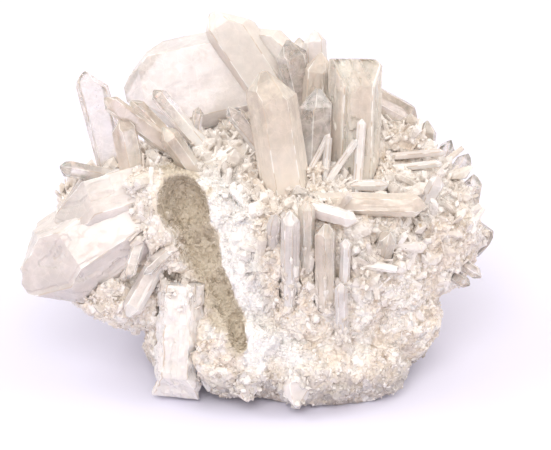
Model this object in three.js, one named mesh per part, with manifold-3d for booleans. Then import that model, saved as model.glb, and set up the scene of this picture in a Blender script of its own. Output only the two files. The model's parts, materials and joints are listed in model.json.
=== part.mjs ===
// Quartz crystal cluster: a rough quartz matrix with single crystals seated in it.
// Units are millimetres, +Z is up, +X is along the longest side, and -Y is the open front face.
// The matrix is a union of broken, faceted lumps with one long cavity sunk in its front. Every crystal is a
// hexagonal prism closed by rhombohedral faces, at the angles that quartz grows with, seated in a socket.

import * as THREE from "three";
import { ConvexGeometry } from "three/addons/geometries/ConvexGeometry.js";
import { mergeVertices } from "three/addons/utils/BufferGeometryUtils.js";
import Module from "manifold-3d";

const wasm = await Module();
wasm.setup();

// Driving dimensions
const seatGap = 0.3; // clearance round every seated crystal
const smallestCut = 0.02; // edges shorter than this are merged away after cutting
const lumpPoints = 90; // corners of one rock lump
const lumpRoughness = 0.1; // how far a corner falls short of the lump's outline, as a share of it
const lumpSquareness = 3; // exponent of the lump's outline: 2 is an ellipsoid, more is blockier
const rhombTilt = THREE.MathUtils.degToRad(51.79); // c-axis to the normal of a termination face
const cornerFactor = Math.sin(Math.PI / 3); // face distance over corner distance in a regular hexagon
const sideJitter = 0.09; // unequal growth of the prism faces, as a share of the width
const tipJitter = 0.06; // unequal growth of the termination faces, as a share of the width
const minorFaceRise = 0.05; // how much further out every second termination face lies

const clearQuartz = new THREE.MeshStandardMaterial({ color: 0xf3ebe6, roughness: 0.06, metalness: 0 });
const milkyQuartz = new THREE.MeshStandardMaterial({ color: 0xf6f0ed, roughness: 0.25, metalness: 0 });
const smokyQuartz = new THREE.MeshStandardMaterial({ color: 0xdccdc2, roughness: 0.08, metalness: 0 });
const matrixQuartz = new THREE.MeshStandardMaterial({ color: 0xe8dccf, roughness: 0.8, metalness: 0 });

// The matrix: centre, half-sizes and turn about X, Y and Z in degrees. Lumps that reach below zero are cut
// flat there, which gives the feet that the cluster rests on.
const rockLumps = {
  core: [[2, 3, 28], [39, 25, 25], [0, 0, 0]],
  frontWall: [[14, -13, 27], [31, 17, 25], [-14, 0, 0]],
  frontFoot: [[14, -22, 8], [24, 14, 10], [0, 4, 0]],
  frontApron: [[-5, -23, 12], [13, 13, 12], [-8, 0, -12]],
  leftShoulder: [[-23, -6, 42], [20, 17, 14], [-6, 6, 0]],
  leftLobe: [[-39, -8, 37], [15, 14, 12], [0, 30, 0]],
  leftUnderside: [[-36, -11, 23.5], [18, 14, 8], [0, 22, 0]],
  leftFoot: [[-15, -13, 11], [14, 16, 13], [-8, 20, 0]],
  rightEnd: [[39, -1, 30.5], [19, 17, 15], [0, -22, 0]],
  rightShoulder: [[36, 3, 40], [16, 15, 12], [0, 16, 0]],
  rightTop: [[35, 11, 47], [11, 9, 11], [0, 14, 0]],
  rightUnderside: [[30, -9, 15], [17, 18, 15], [-10, -24, 0]],
  backMass: [[-6, 19, 31], [27, 17, 21], [6, -6, 0]],
  backFoot: [[10, 16, 9], [22, 16, 11], [0, 0, 0]],
  leftTop: [[-17, 3, 46], [17, 14, 10], [0, 0, 0]],
  middleTop: [[8, 1, 45], [20, 15, 10], [-4, 0, 0]],
  plateSeat: [[2, 23, 50], [17, 12, 11], [0, 0, 0]],
  towerSeat: [[23, 9, 45], [18, 13, 12], [0, 10, 0]],
};

// The cavity: centre and half-sizes of the hollows that open it, down its slope.
const cavitySlope = new THREE.Vector3(11, -12, -30).normalize();
const cavityHollows = [
  [[-18.5, -18, 48.5], [6.4, 12, 9]],
  [[-15.5, -23, 40], [5.8, 12, 10]],
  [[-10.5, -28, 31], [3.9, 10, 9]],
  [[-6.5, -32, 24], [2.7, 8, 8]],
];
// The small hollow left of the foot, with the recess crystals in it.
const recessHollow = [[-30, -24, 34], [5, 7, 10]];

// The crystals: root and tip on the c-axis, width across corners, thickness through the broad faces.
// faces is the way a broad face looks, turn rotates the prism, ridge draws the tip out to a chisel edge.
// offset moves the apex off the c-axis, square to the broad faces and along them.
const crystals = [
  // the big plates at the back
  { name: "tabular_crystal", root: [13, 13, 50], tip: [-11, 24, 84.5], width: 12.5, thickness: 8,
    turn: 6, offset: [0, 2], quartz: clearQuartz },
  { name: "tabular_crystal_step", root: [24, 15, 52], tip: [-5, 25, 80], width: 12, thickness: 7,
    turn: 4, offset: [0, 2], quartz: clearQuartz },
  { name: "back_plate_crystal", root: [0, 25, 67.6], tip: [-35, 19.5, 62], width: 25, thickness: 9,
    faces: [-0.05, -1, 0.5], offset: [0, -1], quartz: milkyQuartz },
  { name: "back_crown_crystal", root: [14.5, 10, 48], tip: [7, 14, 80], width: 8, thickness: 6.5,
    turn: 20, quartz: clearQuartz },
  { name: "back_crown_tip_crystal", root: [13, 19, 56], tip: [10, 19, 78.5], width: 6, thickness: 5,
    turn: -10, quartz: smokyQuartz },
  { name: "frosted_crystal", root: [15, 12, 56], tip: [14, 17, 81.5], width: 6, thickness: 5,
    quartz: milkyQuartz },
  // the towers
  { name: "tower_crystal", root: [23, -3, 38], tip: [24, 8.5, 77.2], width: 13, thickness: 11, turn: 6,
    ridge: 0.32, offset: [0, 1.6], quartz: smokyQuartz },
  { name: "tower_left_crystal", root: [13.5, 4, 44], tip: [15.5, 12, 77.5], width: 8.4, thickness: 7.5,
    turn: -12, quartz: smokyQuartz },
  { name: "tower_front_crystal", root: [13.5, -5, 44], tip: [14.5, 3, 71.5], width: 9.4, thickness: 8,
    turn: 25, quartz: clearQuartz },
  { name: "dark_tip_crystal", root: [7.5, -10, 44], tip: [2, -3, 79], width: 12, thickness: 10.5,
    turn: 8, offset: [0, 1.2], quartz: smokyQuartz },
  { name: "needle_crystal_1", root: [24, -11, 45], tip: [25.5, -3, 66], width: 2.4, thickness: 2,
    quartz: milkyQuartz },
  { name: "needle_crystal_2", root: [11, -9, 51], tip: [17.5, -4.5, 62.6], width: 1.8, thickness: 1.4,
    quartz: milkyQuartz },
  { name: "needle_crystal_3", root: [16, -11, 46], tip: [17.2, -4.5, 62.6], width: 2.2, thickness: 1.8,
    quartz: milkyQuartz },
  { name: "needle_crystal_4", root: [16.5, -10, 51], tip: [24.5, -5.5, 61.6], width: 1.9, thickness: 1.5,
    quartz: milkyQuartz },
  // the small crystals along the top of the left ledge
  { name: "ledge_crystal_1", root: [1, -1, 56], tip: [-7.5, -7, 71], width: 4.4, thickness: 3.4,
    turn: 20, quartz: clearQuartz },
  { name: "ledge_crystal_2", root: [-17.5, 4, 52], tip: [-15.5, 6, 65], width: 2.8, thickness: 2.4,
    quartz: clearQuartz },
  { name: "ledge_crystal_3", root: [-14, 2, 55], tip: [-27, 10, 68], width: 4.6, thickness: 3.6,
    turn: 10, quartz: clearQuartz },
  { name: "ledge_crystal_4", root: [-20, 0, 55], tip: [-32, -3, 71], width: 4.6, thickness: 3.2,
    turn: -8, quartz: smokyQuartz },
  { name: "ledge_crystal_5", root: [-21, -3, 57], tip: [-38, -9, 74.5], width: 4.6, thickness: 3,
    turn: 14, quartz: smokyQuartz },
  { name: "ledge_crystal_6", root: [-31, -9, 50], tip: [-34, -8, 69], width: 6.6, thickness: 5.6,
    turn: 30, quartz: smokyQuartz },
  { name: "ledge_crystal_7", root: [-16.5, -6, 53], tip: [-24, -7, 65.5], width: 5.2, thickness: 4.6,
    turn: 16, quartz: smokyQuartz },
  { name: "window_crystal", root: [-36.5, -2, 49], tip: [-42.8, 2, 76.8], width: 8.2, thickness: 4.2,
    turn: 4, offset: [0, 0.8], quartz: clearQuartz },
  { name: "rim_crystal", root: [-36, -6, 51], tip: [-49, -15, 58.5], width: 4.6, thickness: 3.8,
    turn: 10, quartz: clearQuartz },
  // the left end
  { name: "left_block_crystal", root: [-31.5, -8.5, 41.5], tip: [-59, -20, 27], width: 25, thickness: 23,
    faces: [-0.2, -1, 0.5], quartz: milkyQuartz },
  { name: "left_shoulder_crystal", root: [-28, -9, 47.5], tip: [-51, -15.5, 43], width: 19,
    thickness: 17, faces: [-0.1, -1, 0.9], turn: 6, quartz: milkyQuartz },
  { name: "left_nub_crystal", root: [-44, -12, 35], tip: [-60, -17, 30], width: 9, thickness: 8,
    turn: 18, quartz: milkyQuartz },
  { name: "recess_crystal_1", root: [-28, -18, 46], tip: [-32.5, -26.5, 33.5], width: 3, thickness: 2,
    turn: 5, quartz: clearQuartz },
  { name: "recess_crystal_2", root: [-22, -20, 38.5], tip: [-28.5, -26, 34.5], width: 3.6, thickness: 3,
    turn: 12, quartz: clearQuartz },
  { name: "recess_crystal_3", root: [-25, -17, 34], tip: [-33, -27, 23], width: 5, thickness: 4,
    turn: 12, quartz: milkyQuartz },
  // the foot of the front
  { name: "foot_crystal", root: [-19.2, -20.5, 29], tip: [-21, -30, 1.2], width: 11.5, thickness: 9.5,
    turn: 10, ridge: 0.3, quartz: milkyQuartz },
  { name: "foot_side_crystal", root: [-11.8, -24, 13], tip: [-12.7, -32, 4], width: 6.5, thickness: 6,
    turn: 22, quartz: milkyQuartz },
  { name: "base_crystal_1", root: [-3.3, -29, 9.6], tip: [-3, -37, 4.4], width: 7.6, thickness: 7,
    turn: 8, quartz: milkyQuartz },
  { name: "base_crystal_2", root: [9, -30.5, 8.6], tip: [9, -38, 3.4], width: 9, thickness: 8, turn: -14,
    quartz: milkyQuartz },
  // the right end
  { name: "end_crystal_1", root: [40, 6, 26], tip: [60.3, 0, 31.5], width: 13, thickness: 11, turn: 20,
    faces: [0.2, -1, 0.4], quartz: smokyQuartz },
  { name: "end_crystal_2", root: [44, -7, 33], tip: [56, -16, 28], width: 3.4, thickness: 3, turn: 12,
    quartz: clearQuartz },
  { name: "end_crystal_3", root: [43, -10, 29], tip: [53, -17.5, 26.5], width: 3, thickness: 2.6,
    turn: 30, quartz: clearQuartz },
  { name: "end_crystal_4", root: [53, 2, 30], tip: [55.5, 8, 45], width: 5.6, thickness: 5, turn: 18,
    quartz: clearQuartz },
  { name: "end_crystal_5", root: [46, 5, 38], tip: [54, 11, 49.5], width: 5, thickness: 4.4, turn: 8,
    quartz: clearQuartz },
  { name: "end_crystal_6", root: [44, 9, 40], tip: [49.5, 13, 52.5], width: 4.6, thickness: 4, turn: 24,
    quartz: clearQuartz },
  { name: "end_crystal_7", root: [41.5, 8, 44], tip: [43.2, 14, 57.6], width: 6, thickness: 5.6,
    turn: 12, quartz: smokyQuartz },
  { name: "lean_crystal", root: [20, 14, 69], tip: [40.8, 17, 55.6], width: 8, thickness: 7, turn: -16,
    faces: [0, -1, 0.6], quartz: smokyQuartz },
  { name: "shelf_crystal_1", root: [32, 4, 52], tip: [47, 1, 54.8], width: 2.4, thickness: 2,
    quartz: milkyQuartz },
  { name: "shelf_crystal_2", root: [32, 1, 50], tip: [46, -3, 53.7], width: 2.4, thickness: 1.8,
    turn: 10, quartz: milkyQuartz },
  { name: "shelf_crystal_3", root: [14, -16, 49], tip: [41, -20, 50.5], width: 6, thickness: 5, turn: 12,
    faces: [0, -1, 0.8], quartz: smokyQuartz },
  { name: "shelf_crystal_4", root: [41, -9, 44], tip: [44.5, -13, 55], width: 4.4, thickness: 3.6,
    turn: 4, quartz: milkyQuartz },
  { name: "shelf_crystal_5", root: [22, -8, 50], tip: [32, -13, 52.5], width: 3.2, thickness: 2.4,
    turn: 14, quartz: milkyQuartz },
  // the broken columns of the front
  { name: "wedge_crystal", root: [12, -20, 50], tip: [23.5, -28, 50.5], width: 4.6, thickness: 3.8,
    turn: 10, quartz: milkyQuartz },
  { name: "column_crystal_1", root: [3, -22, 38], tip: [4, -27, 51.5], width: 4, thickness: 3.4,
    turn: 12, quartz: milkyQuartz },
  { name: "column_crystal_2", root: [7.5, -27, 26], tip: [7.5, -28, 53], width: 4.8, thickness: 4.6,
    turn: -10, quartz: milkyQuartz },
  { name: "column_crystal_3", root: [12, -25, 28], tip: [11.5, -25, 54.5], width: 4.4, thickness: 4.2,
    turn: 8, quartz: smokyQuartz },
  { name: "column_crystal_4", root: [16.5, -28, 26], tip: [16.2, -27, 49], width: 5.6, thickness: 5.4,
    turn: 20, quartz: smokyQuartz },
  { name: "column_crystal_5", root: [21, -28, 32], tip: [21, -29, 46], width: 3, thickness: 2.8, turn: 6,
    quartz: milkyQuartz },
  { name: "column_crystal_6", root: [20.3, -30, 18], tip: [19.8, -33, 36], width: 3.4, thickness: 3,
    turn: 4, quartz: milkyQuartz },
  { name: "column_crystal_7", root: [30, -20, 34], tip: [32, -25.5, 46], width: 5.4, thickness: 4.8,
    turn: 26, quartz: smokyQuartz },
  // the crystals that look to the back
  { name: "rear_crystal_1", root: [-14, 22, 38], tip: [-24, 37, 48], width: 10, thickness: 8, turn: 12,
    faces: [0, 1, 0], quartz: milkyQuartz },
  { name: "rear_crystal_2", root: [26, 18, 38], tip: [33, 35, 50], width: 9, thickness: 8, turn: 20,
    faces: [0, 1, 0], quartz: clearQuartz },
  { name: "rear_crystal_3", root: [2, 26, 28], tip: [3, 42, 33], width: 8, thickness: 7, turn: 6,
    faces: [0, 0, 1], quartz: smokyQuartz },
];

// A repeatable number from 0 to 1 for a text and a count.
function chance(text, count) {
  let sum = count * 374761393;
  for (const letter of text) sum = Math.imul(sum ^ letter.charCodeAt(0), 668265263);
  sum = Math.imul(sum ^ (sum >>> 13), 1274126177);
  return ((sum ^ (sum >>> 16)) >>> 0) / 4294967296;
}

// A closed three.js geometry as a solid that can be joined and cut.
function solidOf(geometry) {
  const bare = geometry.clone();
  bare.deleteAttribute("normal");
  bare.deleteAttribute("uv");
  const merged = mergeVertices(bare, 1e-4);
  return new wasm.Manifold(
    new wasm.Mesh({
      numProp: 3,
      vertProperties: new Float32Array(merged.attributes.position.array),
      triVerts: new Uint32Array(merged.index.array),
    }),
  );
}

// A solid as a mesh of the scene graph.
function meshOf(solid, name, material) {
  const { vertProperties, triVerts } = solid.getMesh();
  const geometry = new THREE.BufferGeometry();
  geometry.setAttribute("position", new THREE.BufferAttribute(vertProperties, 3));
  geometry.setIndex(new THREE.BufferAttribute(triVerts, 1));
  geometry.computeVertexNormals();
  const mesh = new THREE.Mesh(geometry, material);
  mesh.name = name;
  return mesh;
}

// The largest of the pieces that cutting may leave.
function mainPiece(solid) {
  return solid.decompose().reduce((best, piece) => (piece.volume() > best.volume() ? piece : best));
}

// A broken rock lump: the convex hull of uneven points spread on a blocky ellipsoid.
function rockLump(name, [centre, halfSizes, turns]) {
  const turn = new THREE.Euler(...turns.map((degrees) => THREE.MathUtils.degToRad(degrees)));
  const points = [];
  const goldenAngle = Math.PI * (3 - Math.sqrt(5));
  for (let i = 0; i < lumpPoints; i++) {
    const height = 1 - (2 * (i + 0.5)) / lumpPoints;
    const ring = Math.sqrt(1 - height * height);
    const angle = i * goldenAngle + chance(name, i);
    const way = new THREE.Vector3(ring * Math.cos(angle), ring * Math.sin(angle), height);
    const powers = way.toArray().map((part) => Math.abs(part) ** lumpSquareness);
    const outline = (powers[0] + powers[1] + powers[2]) ** (-1 / lumpSquareness);
    const reach = outline * (1 - lumpRoughness * chance(name, i + lumpPoints));
    points.push(
      way
        .multiply(new THREE.Vector3(...halfSizes))
        .multiplyScalar(reach)
        .applyEuler(turn)
        .add(new THREE.Vector3(...centre)),
    );
  }
  return solidOf(new ConvexGeometry(points));
}

// One hollow of the cavity: a coarse ellipsoid with its long axis down the cavity's slope.
function cavityHollow([centre, halfSizes]) {
  const geometry = new THREE.IcosahedronGeometry(1, 2);
  geometry.scale(...halfSizes);
  const down = new THREE.Quaternion().setFromUnitVectors(new THREE.Vector3(0, 0, -1), cavitySlope);
  geometry.applyQuaternion(down);
  geometry.translate(...centre);
  return solidOf(geometry);
}

// A crystal, with every face moved out by grow. It is cut from a block in a frame whose Z is the c-axis.
function crystalSolid(crystal, grow) {
  const { name, width, thickness, faces = [0, -1, 0], turn = 0, ridge = 0, offset = [0, 0] } = crystal;
  const root = new THREE.Vector3(...crystal.root);
  const along = new THREE.Vector3(...crystal.tip).sub(root);
  const length = along.length();
  along.normalize();
  const across = new THREE.Vector3(...faces).cross(along).normalize();
  const out = along.clone().cross(across);
  const reach = 2 * length + width;
  const block = new THREE.BoxGeometry(reach, reach, length + 2 * grow).translate(0, 0, length / 2);
  let solid = solidOf(block);
  for (let side = 0; side < 6; side++) {
    const angle = (side * Math.PI) / 3;
    const broad = side % 3 === 0;
    const faceAt = broad ? thickness / 2 : (width / 2) * cornerFactor;
    const uneven = sideJitter * width * (chance(name, side) - 0.5);
    solid = solid.trimByPlane([-Math.cos(angle), -Math.sin(angle), 0], -(faceAt + uneven + grow));
    const drawnOut = broad ? 0 : ridge * width;
    const minor = side % 2 ? minorFaceRise * width : 0;
    const tipUneven = tipJitter * width * chance(name, side + 6);
    const tipNormal = [Math.cos(angle) * Math.sin(rhombTilt), Math.sin(angle) * Math.sin(rhombTilt)];
    const apexAt = offset[0] * tipNormal[0] + offset[1] * tipNormal[1] + length * Math.cos(rhombTilt);
    const tipAt = apexAt + drawnOut + minor + tipUneven;
    solid = solid.trimByPlane([-tipNormal[0], -tipNormal[1], -Math.cos(rhombTilt)], -(tipAt + grow));
  }
  const frame = new THREE.Matrix4().makeBasis(out, across, along);
  frame.premultiply(new THREE.Matrix4().makeRotationAxis(along, THREE.MathUtils.degToRad(turn)));
  frame.setPosition(root);
  return solid.transform(frame.elements);
}

// The matrix, before its sockets are cut.
function rockBody() {
  let rock = null;
  for (const [name, lump] of Object.entries(rockLumps)) {
    const solid = rockLump(name, lump);
    rock = rock ? rock.add(solid) : solid;
  }
  for (const hollow of [...cavityHollows, recessHollow]) rock = rock.subtract(cavityHollow(hollow));
  return rock.trimByPlane([0, 0, 1], 0);
}

const group = new THREE.Group();
const sockets = [];
let rock = rockBody();
for (const crystal of crystals) {
  let solid = crystalSolid(crystal, 0);
  for (const socket of sockets) solid = solid.subtract(socket);
  const socket = crystalSolid(crystal, seatGap);
  sockets.push(socket);
  rock = rock.subtract(socket);
  group.add(meshOf(mainPiece(solid.simplify(smallestCut)), crystal.name, crystal.quartz));
}
group.add(meshOf(mainPiece(rock.simplify(smallestCut)), "quartz_matrix", matrixQuartz));

// The origin is the middle of the bounding box, at the height that the cluster rests on.
const box = new THREE.Box3().setFromObject(group);
group.position.set(-(box.min.x + box.max.x) / 2, -(box.min.y + box.max.y) / 2, -box.min.z);

export default group;
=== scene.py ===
import itertools
import json
import math

import bmesh
import bpy
import numpy as np
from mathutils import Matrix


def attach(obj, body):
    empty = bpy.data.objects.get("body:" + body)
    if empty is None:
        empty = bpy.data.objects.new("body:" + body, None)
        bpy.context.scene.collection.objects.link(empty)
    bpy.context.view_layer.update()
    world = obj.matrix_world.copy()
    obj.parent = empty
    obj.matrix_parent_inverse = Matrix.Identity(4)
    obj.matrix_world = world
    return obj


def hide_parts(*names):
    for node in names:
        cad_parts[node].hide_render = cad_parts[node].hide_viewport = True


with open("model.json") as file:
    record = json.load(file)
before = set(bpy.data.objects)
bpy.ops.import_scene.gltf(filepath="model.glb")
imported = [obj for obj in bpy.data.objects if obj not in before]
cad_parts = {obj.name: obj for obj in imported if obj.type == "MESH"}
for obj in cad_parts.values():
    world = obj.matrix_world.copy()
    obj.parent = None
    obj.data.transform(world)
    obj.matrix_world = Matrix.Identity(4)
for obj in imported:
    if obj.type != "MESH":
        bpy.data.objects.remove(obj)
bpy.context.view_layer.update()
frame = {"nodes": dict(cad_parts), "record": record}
mm = 0.001
slotOf = {row["node"]: row["material_slot"] for row in frame["record"]["subparts"]}
cavityBoxes = [np.array(box["box_m"]) for box in frame["record"]["physics"]["openings"]]


def linearColour(code):
    # a #rrggbb code as the linear colour that a socket takes
    parts = [int(code[i:i + 2], 16) / 255 for i in (1, 3, 5)]
    return tuple(p / 12.92 if p <= 0.04045 else ((p + 0.055) / 1.055) ** 2.4 for p in parts) + (1.0,)


def addNode(tree, kind, inputs=None, **settings):
    # one node with its settings; an input is a plain value, a #rrggbb colour or another node's output
    node = tree.nodes.new("ShaderNode" + kind)
    for key, value in settings.items():
        setattr(node, key, value)
    for key, value in (inputs or {}).items():
        if isinstance(value, bpy.types.NodeSocket):
            tree.links.new(value, node.inputs[key])
        else:
            node.inputs[key].default_value = linearColour(value) if isinstance(value, str) else value
    return node


def newMaterial(name):
    # an empty material and its node tree
    material = bpy.data.materials.new(name)
    material.use_nodes = True
    material.node_tree.nodes.clear()
    return material, material.node_tree


def hashOf(cells, seed):
    # whole-number lattice places (n x 3) mixed into repeatable values from 0 to 1
    mask = 0xFFFFFFFF
    mixed = cells[..., 0] * 374761393 + cells[..., 1] * 668265263 + cells[..., 2] * 1440662683
    mixed = (mixed + seed * 974711) & mask
    mixed = ((mixed ^ (mixed >> 13)) * 1274126177) & mask
    mixed = ((mixed ^ (mixed >> 15)) * 2246822519) & mask
    return ((mixed ^ (mixed >> 16)) & 0xFFFFF) / 0xFFFFF


def latticeNoise(points, size, seed):
    # random values on a lattice of that size, blended smoothly between its corners, from -1 to 1
    place = np.asarray(points) / size
    base = np.floor(place).astype(np.int64)
    part = place - base
    part = part * part * (3 - 2 * part)
    total = np.zeros(part.shape[:-1])
    for corner in itertools.product((0, 1), repeat=3):
        weight = np.prod(np.where(corner, part, 1 - part), axis=-1)
        total += weight * hashOf(base + np.array(corner), seed)
    return total * 2 - 1


def nearestCell(points, size, seed):
    # of one scattered seed point per lattice cell, the nearest: the offset from it, and its own number
    place = points / size
    base = np.floor(place).astype(np.int64)
    best = np.full(len(points), 1e9)
    offset = np.zeros_like(place)
    label = np.zeros(len(points))
    for step in itertools.product((-1, 0, 1), repeat=3):
        cell = base + np.array(step)
        centre = cell + np.stack([hashOf(cell, seed + k) for k in (1, 2, 3)], -1)
        away = place - centre
        distance = np.linalg.norm(away, axis=1)
        closer = distance < best
        best = np.where(closer, distance, best)
        offset[closer] = away[closer]
        label = np.where(closer, hashOf(cell, seed + 4), label)
    return offset * size, label


def smoothRamp(values, low, high):
    # 0 below low, 1 above high, and a smooth S between them
    share = np.clip((values - low) / (high - low), 0, 1)
    return share * share * (3 - 2 * share)


def addLayers(mesh, layers):
    # one number for each vertex and layer, which the materials read by the layer's name
    for key, values in layers.items():
        layer = mesh.attributes.new(key, "FLOAT", "POINT")
        layer.data.foreach_set("value", np.asarray(values, np.float32))


def meshFrom(name, points, faces, layers, sharpOver=None):
    # arrays into a mesh object; faces is a list of arrays, each with one number of corners
    mesh = bpy.data.meshes.new(name)
    corners = np.concatenate([f.ravel() for f in faces])
    sizes = np.concatenate([np.full(len(f), f.shape[1]) for f in faces])
    mesh.vertices.add(len(points))
    mesh.vertices.foreach_set("co", np.asarray(points, np.float32).ravel())
    mesh.loops.add(len(corners))
    mesh.loops.foreach_set("vertex_index", corners.astype(np.int32))
    mesh.polygons.add(len(sizes))
    mesh.polygons.foreach_set("loop_start", np.concatenate([[0], np.cumsum(sizes)[:-1]]).astype(np.int32))
    mesh.polygons.foreach_set("use_smooth", np.full(len(sizes), sharpOver is not None))
    addLayers(mesh, layers)
    mesh.update(calc_edges=True)
    if sharpOver is not None:
        mesh.set_sharp_from_angle(angle=math.radians(sharpOver))
    piece = bpy.data.objects.new(name, mesh)
    bpy.context.scene.collection.objects.link(piece)
    return piece


def finishPiece(piece, node, material):
    # everything rides the one body and stands for a node of the frame
    piece.data.materials.append(material)
    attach(piece, "root")
    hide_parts(node)


def triangleData(mesh):
    # a mesh's points, and each triangle's corner numbers, normal and area
    points = np.zeros(len(mesh.vertices) * 3)
    mesh.vertices.foreach_get("co", points)
    points = points.reshape(-1, 3)
    mesh.calc_loop_triangles()
    corners = np.zeros(len(mesh.loop_triangles) * 3, np.int32)
    mesh.loop_triangles.foreach_get("vertices", corners)
    corners = corners.reshape(-1, 3)
    one, two, three = points[corners[:, 0]], points[corners[:, 1]], points[corners[:, 2]]
    cross = np.cross(two - one, three - one)
    size = np.linalg.norm(cross, axis=1)
    return points, corners, cross / np.maximum(size, 1e-18)[:, None], size / 2


rhombTilt = math.radians(51.79)  # c-axis to the normal of a tip face


def quartzForm(node):
    # A quartz crystal is six prism faces along the c-axis and six tip faces tilted over them. The c-axis is
    # the way that most face area either runs along or leans from by the tip angle. The forms' distances are
    # then how far the node reaches along each face's normal.
    points, _, normals, areas = triangleData(frame["nodes"][node].data)
    kept = []
    for i in np.argsort(-areas):
        if areas[i] > 0.004 * areas.sum() and all(normals[i] @ normals[k] < 0.9995 for k in kept):
            kept.append(i)
    faces = normals[kept]
    tries = np.concatenate([np.cross(faces[:, None], faces[None]).reshape(-1, 3), -faces])
    length = np.linalg.norm(tries, axis=1)
    tries = tries[length > 0.2] / length[length > 0.2, None]
    lean = normals @ tries.T
    along = (np.abs(lean) < 0.004) * areas[:, None]
    tipped = (np.abs(lean - math.cos(rhombTilt)) < 0.004) * areas[:, None]
    capped = (lean < -0.9999) * areas[:, None]
    axis = tries[np.argmax(along.sum(0) + 1.5 * tipped.sum(0) + capped.sum(0))]
    prism = np.argmax(np.where(np.abs(normals @ axis) < 0.004, areas, 0))
    first = normals[prism] - (normals[prism] @ axis) * axis
    first /= np.linalg.norm(first)
    second = np.cross(axis, first)
    turns = np.radians(60 * np.arange(6))
    sides = np.cos(turns)[:, None] * first + np.sin(turns)[:, None] * second
    tips = sides * math.sin(rhombTilt) + axis * math.cos(rhombTilt)
    return {
        "axis": axis, "sides": sides, "tips": tips,
        "sideAt": (points @ sides.T).max(0), "tipAt": (points @ tips.T).max(0),
        "start": (points @ axis).min(), "end": (points @ axis).max(),
    }


def insideForm(form, points, margin):
    # which points lie within the crystal, with its faces moved out by margin
    inside = (points @ form["sides"].T < form["sideAt"] + margin).all(1)
    inside &= (points @ form["tips"].T < form["tipAt"] + margin).all(1)
    along = points @ form["axis"]
    return inside & (along > form["start"] - margin) & (along < form["end"] + margin)


def crystalWidth(form):
    # the widest of the three distances between opposite prism faces
    return (form["sideAt"] + np.roll(form["sideAt"], 3)).max()


def insideAny(points, margin):
    # which points lie within any of the seated crystals
    inside = np.zeros(len(points), bool)
    for form in forms.values():
        inside |= insideForm(form, points, margin)
    return inside


forms = {node: quartzForm(node) for node in frame["nodes"] if node != "quartz_matrix"}
print("crystal forms read:", len(forms))


studio = {
    "lookAt": (0.0039, -0.0019, 0.0344), "distance": 0.52, "elevation": 28, "lens": 131.65,
    "skyColour": "#fff9f3", "skyStrength": 0.98, "dimColour": "#dccfc5", "floorColour": "#e1e1f2",
    "dimFront": (-0.3, -0.8), "dimLow": (0.7, 0.3),  # where the dim patch starts and is full, along Y and Z
    "floorReach": 2.5, "floorCells": 8,
}
lamps = {
    # soft round lamps: place, size and power; the front one lights the face, the side ones cast the shadows
    "frontSoftbox": {"place": (-0.12, -0.62, 0.72), "size": 0.6, "power": 3.6, "colour": "#fffbf6"},
    "leftSoftbox": {"place": (-0.55, 0.05, 0.65), "size": 0.5, "power": 1.5, "colour": "#ffffff"},
    "rightSoftbox": {"place": (0.55, 0.08, 0.65), "size": 0.5, "power": 1.6, "colour": "#fffaf5"},
}


def addCamera():
    # in front of the cluster at the set distance, tilted down by the set elevation
    tilt = math.radians(studio["elevation"])
    data = bpy.data.cameras.new("camera")
    data.lens = studio["lens"]
    data.clip_start = 0.01
    camera = bpy.data.objects.new("camera", data)
    x, y, z = studio["lookAt"]
    reach = studio["distance"]
    camera.location = (x, y - reach * math.cos(tilt), z + reach * math.sin(tilt))
    camera.rotation_euler = (math.pi / 2 - tilt, 0, 0)
    bpy.context.scene.collection.objects.link(camera)
    bpy.context.scene.camera = camera


def addFloor():
    # a wide flat sheet under the cluster, a hair below it
    count = studio["floorCells"]
    side = np.linspace(-studio["floorReach"], studio["floorReach"], count + 1)
    x, y = np.meshgrid(side, side)
    points = np.stack([x.ravel(), y.ravel(), np.full(x.size, -0.05 * mm)], -1)
    row = np.arange(count)
    first = (row[:, None] * (count + 1) + row[None]).ravel()
    quads = np.stack([first, first + 1, first + count + 2, first + count + 1], -1)
    floor = meshFrom("floor", points, [quads], {})
    material, tree = newMaterial("whiteBackdropPaper")
    shader = addNode(tree, "BsdfPrincipled", {"Base Color": studio["floorColour"], "Roughness": 0.9})
    addNode(tree, "OutputMaterial", {"Surface": shader.outputs[0]})
    floor.data.materials.append(material)


def addSky():
    # white all round and overhead, with a dim warm patch low on the side that faces the cluster's front
    world = bpy.data.worlds.new("studioTent")
    bpy.context.scene.world = world
    world.use_nodes = True
    tree = world.node_tree
    tree.nodes.clear()
    way = addNode(tree, "SeparateXYZ", {0: addNode(tree, "TexCoord").outputs["Generated"]})
    front, low = (addNode(tree, "MapRange", {
        "Value": way.outputs[key], "From Min": start, "From Max": full}, interpolation_type="SMOOTHSTEP")
        for key, (start, full) in (("Y", studio["dimFront"]), ("Z", studio["dimLow"])))
    dim = addNode(tree, "Math", {0: front.outputs[0], 1: low.outputs[0]}, operation="MULTIPLY")
    colour = addNode(tree, "Mix", {
        "Factor": dim.outputs[0], 6: studio["skyColour"], 7: studio["dimColour"]}, data_type="RGBA")
    light = addNode(tree, "Background", {"Color": colour.outputs[2], "Strength": studio["skyStrength"]})
    addNode(tree, "OutputWorld", {"Surface": light.outputs[0]})


def addLamp(name, look):
    # a round area lamp turned so that its -Z looks at the middle of the cluster
    data = bpy.data.lights.new(name, "AREA")
    data.shape = "DISK"
    data.size = look["size"]
    data.energy = look["power"]
    data.color = linearColour(look["colour"])[:3]
    lamp = bpy.data.objects.new(name, data)
    lamp.location = look["place"]
    way = np.array(studio["lookAt"]) - np.array(look["place"])
    tilt = math.acos(-way[2] / np.linalg.norm(way))
    lamp.rotation_euler = (tilt, 0, math.atan2(-way[0], way[1]))
    bpy.context.scene.collection.objects.link(lamp)


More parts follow.
